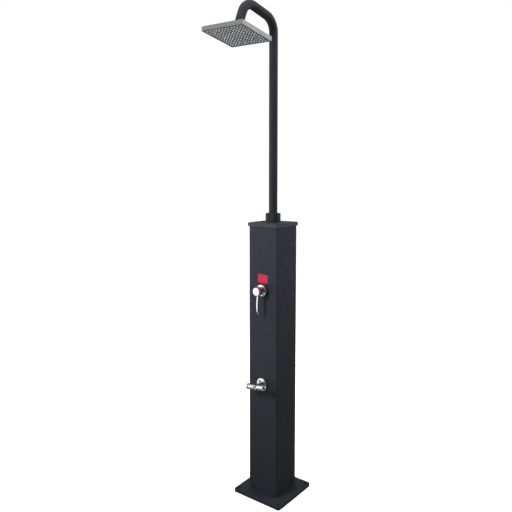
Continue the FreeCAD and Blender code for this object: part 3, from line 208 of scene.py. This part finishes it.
def powder_coat(name, colour, roughness):
    """Powder coat: orange peel, faint mottling, edges lightened by rubbed wear and by a painted
    highlight, and dust near the ground.
    """
    finish = Finish(name, colour, roughness, specular=0.2)
    mottling = finish.patches(scale=9, detail=4, low=0.35, high=0.7)
    finish.tint(mottling, shade(colour, 1.18), share=0.6)
    flecks = finish.patches(scale=2600, detail=2, low=0.55, high=0.75)
    finish.tint(flecks, shade(colour, 1.7), share=0.35)
    settled = finish.patches(scale=60, detail=5, low=0.42, high=0.75)
    dust = finish.maths("MULTIPLY", finish.below(DUST_HEIGHT), settled)
    finish.tint(dust, DUST_COLOUR, share=0.06)
    # lighter edges: partly rubbed wear, partly a painted highlight where the corners catch the
    # light
    finish.tint(finish.edges(radius=1.2), shade(colour, 2.2), share=0.5)
    finish.vary(finish.patches(scale=35, detail=4, low=0.3, high=0.7), change=0.10)
    finish.vary(dust, change=0.2)
    finish.relief(finish.noise(scale=700, detail=2), depth=0.12, strength=0.5)
    finish.relief(finish.noise(scale=2600, detail=1), depth=0.03, strength=0.6)
    return finish.done()


def moulded_plastic(name, colour, roughness):
    """Spark-eroded mould texture with slight flow marks."""
    finish = Finish(name, colour, roughness)
    flow = finish.patches(scale=14, detail=3, low=0.35, high=0.7, stretch=(1, 2.5, 1))
    finish.tint(flow, shade(colour, 1.25), share=0.5)
    finish.tint(finish.edges(radius=1.0), shade(colour, 1.8), share=0.35)
    finish.vary(finish.patches(scale=50, detail=3, low=0.3, high=0.7), change=0.12)
    finish.relief(finish.cells(scale=1500), depth=0.06, strength=0.6)
    finish.relief(finish.noise(scale=220, detail=2), depth=0.08, strength=0.3)
    return finish.done()


def chrome(name, colour, roughness):
    """Plated brass: buffing lines, water marks and a slight haze."""
    finish = Finish(name, colour, roughness, metallic=1.0)
    haze = finish.patches(scale=55, detail=4, low=0.42, high=0.72)
    rims = finish.ease(finish.cells(scale=420, feature="DISTANCE_TO_EDGE"), low=0.06, high=0.0)
    splashed = finish.patches(scale=90, detail=3, low=0.52, high=0.68)
    marks = finish.maths("MULTIPLY", rims, splashed)
    finish.tint(haze, shade(colour, 0.93), share=0.8)
    finish.tint(marks, shade(colour, 0.82), share=0.4)
    finish.vary(haze, change=0.07)
    finish.vary(marks, change=0.12)
    buffing = finish.noise(scale=900, detail=2, stretch=(1, 1, 6))
    finish.relief(buffing, depth=0.01, strength=0.5)
    return finish.done()


def brushed(name, colour, roughness):
    """Brushed sheet metal: fine lines along X on top and front, along Y on the sides, and a painted
    highlight along the edges.
    """
    finish = Finish(name, colour, roughness, metallic=1.0)
    along_x = finish.noise(scale=1, detail=4, stretch=(16, 2600, 2600))
    along_y = finish.noise(scale=1, detail=4, stretch=(2600, 16, 2600))
    lines = finish.blend("FLOAT", finish.sides(), along_x, along_y)
    finish.tint(finish.ease(lines, low=0.35, high=0.65), shade(colour, 0.86), share=0.8)
    water_marks = finish.patches(scale=30, detail=4, low=0.45, high=0.75)
    finish.tint(water_marks, shade(colour, 0.9), share=0.6)
    # painted highlight along the rims' edges, where they would catch the light
    finish.tint(finish.edges(radius=1.0), STEEL_EDGE_HIGHLIGHT, share=0.6)
    finish.vary(lines, change=0.16)
    finish.vary(finish.patches(scale=40, detail=3, low=0.4, high=0.7), change=0.08)
    finish.relief(lines, depth=0.02, strength=0.7)
    return finish.done()


def plain_metal(name, colour, roughness, tarnish):
    """Turned or drawn metal with tarnish patches and tool marks."""
    finish = Finish(name, colour, roughness, metallic=1.0)
    patches = finish.patches(scale=70, detail=5, low=0.45, high=0.72)
    finish.tint(patches, tarnish, share=0.6)
    finish.vary(patches, change=0.2)
    finish.vary(finish.noise(scale=500, detail=2), change=0.1)
    finish.relief(finish.noise(scale=500, detail=3), depth=0.02, strength=0.6)
    return finish.done()


def zinc(name, colour, roughness):
    """Zinc plate with faint spangle and dull bloom."""
    finish = Finish(name, colour, roughness, metallic=1.0)
    spangle = finish.ease(finish.cells(scale=230), low=0.2, high=0.8)
    finish.tint(spangle, shade(colour, 0.8), share=0.7)
    bloom = finish.patches(scale=45, detail=5, low=0.5, high=0.75)
    finish.tint(bloom, ZINC_BLOOM, share=0.4)
    finish.vary(bloom, change=0.25)
    finish.relief(finish.noise(scale=800, detail=2), depth=0.02, strength=0.5)
    return finish.done()


def rubber(name, colour, roughness):
    """Dull rubber with a fine dusty speckle."""
    finish = Finish(name, colour, roughness)
    speckle = finish.patches(scale=1800, detail=2, low=0.6, high=0.78)
    dusty = [channel * 3 + 0.01 for channel in colour]
    finish.tint(speckle, dusty, share=0.5)
    finish.vary(finish.noise(scale=60, detail=3), change=0.12)
    finish.relief(finish.noise(scale=900, detail=2), depth=0.04, strength=0.6)
    return finish.done()


def ceramic(name, colour, roughness):
    """Ground technical ceramic."""
    finish = Finish(name, colour, roughness)
    clouds = finish.patches(scale=300, detail=4, low=0.5, high=0.7)
    finish.tint(clouds, shade(colour, 0.9), share=0.5)
    finish.vary(finish.noise(scale=120, detail=3), change=0.1)
    finish.relief(finish.noise(scale=1500, detail=2), depth=0.01, strength=0.4)
    return finish.done()


def vinyl(name, colour, roughness):
    """Self-adhesive film: slight ripples, a sun-faded bloom and dark, dirt-catching edges."""
    finish = Finish(name, colour, roughness, specular=0.25)
    faded = finish.patches(scale=55, detail=4, low=0.40, high=0.70)
    finish.tint(faded, FADED_VINYL, share=0.4)
    finish.tint(finish.edges(radius=0.6), shade(colour, 0.45), share=0.8)
    finish.vary(faded, change=0.14)
    finish.relief(finish.noise(scale=160, detail=2), depth=0.10, strength=0.5)
    finish.relief(finish.noise(scale=1500, detail=1), depth=0.02, strength=0.5)
    return finish.done()


def silicone(name, colour, roughness):
    """Milky silicone with a mineral bloom."""
    finish = Finish(name, colour, roughness)
    bloom = finish.patches(scale=240, detail=4, low=0.45, high=0.7)
    finish.tint(bloom, MINERAL_BLOOM, share=0.5)
    finish.vary(bloom, change=0.2)
    finish.relief(finish.noise(scale=1600, detail=2), depth=0.03, strength=0.5)
    return finish.done()


# for each slot: its maker, colour and roughness, and the colour of the tarnish on plain metal
RECIPES = {
    "coated_aluminium": (powder_coat, (0.020, 0.0233, 0.030), 0.50),
    "coated_steel": (powder_coat, (0.020, 0.0215, 0.027), 0.46),
    "cap_plastic": (moulded_plastic, (0.026, 0.028, 0.033), 0.50),
    "face_plastic": (moulded_plastic, (0.080, 0.082, 0.092), 0.52),
    "tank_plastic": (moulded_plastic, (0.025, 0.025, 0.026), 0.50),
    "cartridge_plastic": (moulded_plastic, (0.62, 0.63, 0.66), 0.42),
    "chromed_brass": (chrome, (0.80, 0.81, 0.83), 0.07),
    "coated_brass": (powder_coat, (0.022, 0.023, 0.027), 0.42),
    "head_steel": (brushed, (0.44, 0.435, 0.43), 0.34),
    "steel_small": (plain_metal, (0.56, 0.56, 0.57), 0.26, (0.42, 0.42, 0.42)),
    "black_screw": (plain_metal, (0.05, 0.05, 0.055), 0.38, (0.10, 0.09, 0.08)),
    "brass": (plain_metal, (0.70, 0.50, 0.22), 0.28, (0.42, 0.28, 0.12)),
    "copper_pipe": (plain_metal, (0.72, 0.36, 0.21), 0.26, (0.36, 0.16, 0.09)),
    "zinc_steel": (zinc, (0.52, 0.53, 0.55), 0.38),
    "seal_rubber": (rubber, (0.022, 0.022, 0.023), 0.75),
    "disc_white": (ceramic, (0.84, 0.83, 0.80), 0.18),
    "red_vinyl": (vinyl, (0.46, 0.012, 0.040), 0.36),
    "nozzle_silicone": (silicone, (0.43, 0.445, 0.465), 0.45),
}
FINISHES = {slot: make(slot, *values) for slot, (make, *values) in RECIPES.items()}

for part in frame["record"]["subparts"]:
    owner = nodes[part["node"]]
    owner.data.materials.clear()
    owner.data.materials.append(FINISHES[part["material_slot"]])


# ---------------------------------------------------------------- rain head's nozzles

# the head at rest, as the CAD part has it: its turn and lean in degrees, its ball in metres
HEAD_TURN = 2.4
HEAD_LEAN = 8.4
BALL_CENTRE = Vector((0, -0.243406, 2.019909))
NOZZLES_PER_ROW = 12
# metres between nozzles, and corners round each of them
NOZZLE_PITCH = 0.015
NOZZLE_STEPS = 20
# radius and rise above the tip, in millimetres, from the bore out to the mat
NOZZLE_OUTLINE = (
    (0.58, 1.60),
    (0.66, 0.14),
    (0.84, 0.00),
    (1.22, 0.00),
    (1.50, 0.10),
    (1.70, 0.40),
    (1.90, 1.25),
    (2.20, 1.66),
    (2.80, 1.84),
    (2.93, 1.98),
    (2.45, 1.98),
    (2.45, 4.50),
)
# square metres: every four-sided face of a nozzle is smaller, every side of the mat is larger
LARGEST_ROUND_FACE = 1e-5


def add_to_scene(name, data):
    item = bpy.data.objects.new(name, data)
    bpy.context.scene.collection.objects.link(item)
    return item


def head_frame():
    """The rain head's own axes, with their origin at the ball's centre."""
    turn = Matrix.Rotation(math.radians(HEAD_TURN), 4, "Z")
    lean = Matrix.Rotation(-math.radians(HEAD_LEAN), 4, "X")
    return Matrix.Translation(BALL_CENTRE) @ turn @ lean


def add_nozzle(build, x, y, tip):
    """Turned nozzle with a blind bore, a rounded tip and a collar that laps the tray."""
    angles = [math.tau * step / NOZZLE_STEPS for step in range(NOZZLE_STEPS)]
    rings = []
    for radius, rise in NOZZLE_OUTLINE:
        radius *= MILLIMETRE
        height = tip + rise * MILLIMETRE
        rings.append([
            build.verts.new((x + math.cos(angle) * radius, y + math.sin(angle) * radius, height))
            for angle in angles
        ])
    build.faces.new(reversed(rings[0]))
    build.faces.new(rings[-1])
    for inner, outer in zip(rings, rings[1:]):
        for step in range(NOZZLE_STEPS):
            after = (step + 1) % NOZZLE_STEPS
            build.faces.new((inner[step], inner[after], outer[after], outer[step]))


def nozzle_field():
    """Silicone mat with its grid of nozzles, as high and as wide as the moulded one."""
    place = head_frame()
    local = [place.inverted() @ vertex.co for vertex in nodes["nozzle_mat"].data.vertices]
    tip = min(point.z for point in local)
    back = max(point.z for point in local)
    width = 2 * max(point.x for point in local)
    front = tip + NOZZLE_OUTLINE[-1][1] * MILLIMETRE
    build = bmesh.new()
    middle = (NOZZLES_PER_ROW - 1) / 2
    grid = [(number - middle) * NOZZLE_PITCH for number in range(NOZZLES_PER_ROW)]
    for x in grid:
        for y in grid:
            add_nozzle(build, x, y, tip)
    sheet = bmesh.ops.create_cube(build, size=1)["verts"]
    bmesh.ops.scale(build, verts=sheet, vec=(width, width, back - front))
    bmesh.ops.translate(build, verts=sheet, vec=(0, 0, (back + front) / 2))
    bmesh.ops.recalc_face_normals(build, faces=build.faces)
    bmesh.ops.transform(build, matrix=place, verts=build.verts)
    mesh = bpy.data.meshes.new("nozzle_field")
    build.to_mesh(mesh)
    build.free()
    for face in mesh.polygons:
        face.use_smooth = len(face.vertices) == 4 and face.area < LARGEST_ROUND_FACE
    mesh.materials.append(FINISHES["nozzle_silicone"])
    return add_to_scene("nozzle_field", mesh)


nozzles = nozzle_field()
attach(nozzles, "head")
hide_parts("nozzle_mat")


# ---------------------------------------------------------------- studio

# metres from the post to the floor's edge, and squares along each side of it
FLOOR_REACH = 30
FLOOR_CELLS = 8
FLOOR_COLOUR = (0.86, 0.86, 0.87)
FLOOR_CLOUDS = (0.84, 0.84, 0.85)
FLOOR_ROUGHNESS = 0.8
# degrees of sky that the floor's own light comes from
WASH_ANGLE = 70
BACKDROP = (1, 1, 1, 1)
DAYLIGHT = (0.97, 0.985, 1.0, 1)
BASE_LEVEL = 0.05
# direction of each soft lobe of light, cosine at which it starts, and its level in the middle
LOBES = (
    ((-0.75, -0.65, 0.25), 0.60, 0.45),
    ((-0.3, 0.0, 1.0), 0.55, 0.42),
    ((0.6, 0.77, 0.25), 0.75, 1.10),
    ((0.0, 0.0, -1.0), 0.35, 0.30),
    ((-0.2, 0.9, 0.5), 0.35, 0.14),
    ((0.1, -1.0, 0.15), 0.75, 0.18),
)
# the camera that was fitted to the photo: metres, degrees, and millimetres on the sensor
CAMERA_PLACE = (1.46918, -2.02627, 1.46304)
CAMERA_DIP = 4.81
CAMERA_TURN = 37.675
CAMERA_LENS = 39.96
CAMERA_SENSOR = 36
CAMERA_SHIFT = -0.0759
CAMERA_SIGHT = 100


def stage_floor():
    """Pale floor that the camera sees, while it neither lights the object nor is mirrored in it."""
    mesh = bpy.data.meshes.new("floor")
    build = bmesh.new()
    bmesh.ops.create_grid(build, x_segments=FLOOR_CELLS, y_segments=FLOOR_CELLS, size=FLOOR_REACH)
    build.to_mesh(mesh)
    build.free()
    pale = Finish("floor_pale", FLOOR_COLOUR, FLOOR_ROUGHNESS)
    pale.tint(pale.noise(scale=3, detail=3), FLOOR_CLOUDS, share=0.5)
    mesh.materials.append(pale.done())
    floor = add_to_scene("floor", mesh)
    floor.visible_glossy = False
    floor.visible_diffuse = False
    return floor


def light_only(item, targets):
    receivers = bpy.data.collections.new(item.name + "_receivers")
    for target in targets:
        receivers.objects.link(target)
    item.light_linking.receiver_collection = receivers


def floor_wash(floor, strength):
    """Even light on the floor alone, so that it stays pale out to the horizon."""
    data = bpy.data.lights.new("floor_wash", "SUN")
    data.energy = strength
    data.angle = math.radians(WASH_ANGLE)
    light_only(add_to_scene("floor_wash", data), [floor])


def soft_light(name, place, target, size, watts, mirrored=False):
    """Unseen panel: it lights dull surfaces, or else it shows in shiny ones alone."""
    data = bpy.data.lights.new(name, "AREA")
    data.shape = "RECTANGLE"
    data.size, data.size_y = size
    data.energy = watts
    item = add_to_scene(name, data)
    item.location = place
    item.rotation_euler = (Vector(target) - Vector(place)).to_track_quat("-Z", "Y").to_euler()
    item.visible_diffuse = not mirrored
    item.visible_glossy = mirrored
    item.visible_camera = False
    return item


def studio_world():
    """Pale backdrop for the eye, while broad soft lobes of daylight fall on the object."""
    world = bpy.data.worlds.new("studio")
    bpy.context.scene.world = world
    world.use_nodes = True
    world.node_tree.nodes.clear()
    build = Nodes(world.node_tree)
    way = build.node("ShaderNodeTexCoord").outputs["Generated"]
    total = BASE_LEVEL
    for direction, start, level in LOBES:
        nearness = build.dot(way, Vector(direction).normalized())
        total = build.maths("ADD", build.ease(nearness, start, 1.0, top=level), total)
    lit = build.node("ShaderNodeBackground")
    build.feed(DAYLIGHT, lit.inputs["Color"])
    build.feed(total, lit.inputs["Strength"])
    seen = build.node("ShaderNodeBackground")
    build.feed(BACKDROP, seen.inputs["Color"])
    ray = build.node("ShaderNodeLightPath")
    mix = build.node("ShaderNodeMixShader")
    build.feed(ray.outputs["Is Camera Ray"], mix.inputs["Fac"])
    build.feed(lit.outputs["Background"], mix.inputs[1])
    build.feed(seen.outputs["Background"], mix.inputs[2])
    output = build.node("ShaderNodeOutputWorld")
    build.feed(mix.outputs["Shader"], output.inputs["Surface"])


def photo_camera():
    data = bpy.data.cameras.new("camera")
    data.sensor_width = CAMERA_SENSOR
    data.lens = CAMERA_LENS
    data.shift_y = CAMERA_SHIFT
    data.clip_end = CAMERA_SIGHT
    camera = add_to_scene("camera", data)
    camera.location = CAMERA_PLACE
    camera.rotation_euler = (math.radians(90 - CAMERA_DIP), 0, math.radians(CAMERA_TURN))
    bpy.context.scene.camera = camera


bpy.context.scene.view_settings.view_transform = "Standard"
floor = stage_floor()
studio_world()
floor_wash(floor, strength=3.1)
soft_light("key", place=(-0.45, -1.5, 1.62), target=(0, 0, 1.35), size=(0.3, 0.45), watts=29)
soft_light("mirror", place=(-1.7, -1.3, 0.80), target=(0, -0.1, 0.90), size=(3.2, 2.1), watts=25,
           mirrored=True)
soft_light("side", place=(1.4, 0.7, 2.15), target=(0, 0, 1.5), size=(0.8, 0.8), watts=22)
soft_light("top", place=(0.2, -0.4, 2.8), target=(0, 0, 1.2), size=(0.9, 0.9), watts=15)
soft_light("back", place=(-1.3, 2.0, 1.9), target=(0, 0, 1.2), size=(1.2, 1.2), watts=24)
below = soft_light("below", place=(0.45, -1.1, 0.5), target=(0, -0.24, 2.0), size=(1.0, 1.0),
                   watts=16)
light_only(below, [nozzles, nodes["face_plate"], nodes["head_shell"]])
sky = soft_light("sky", place=(0, 0, 4.5), target=(0, 0, 0), size=(12, 12), watts=110,
                 mirrored=True)
light_only(sky, [nodes["head_shell"]])
photo_camera()
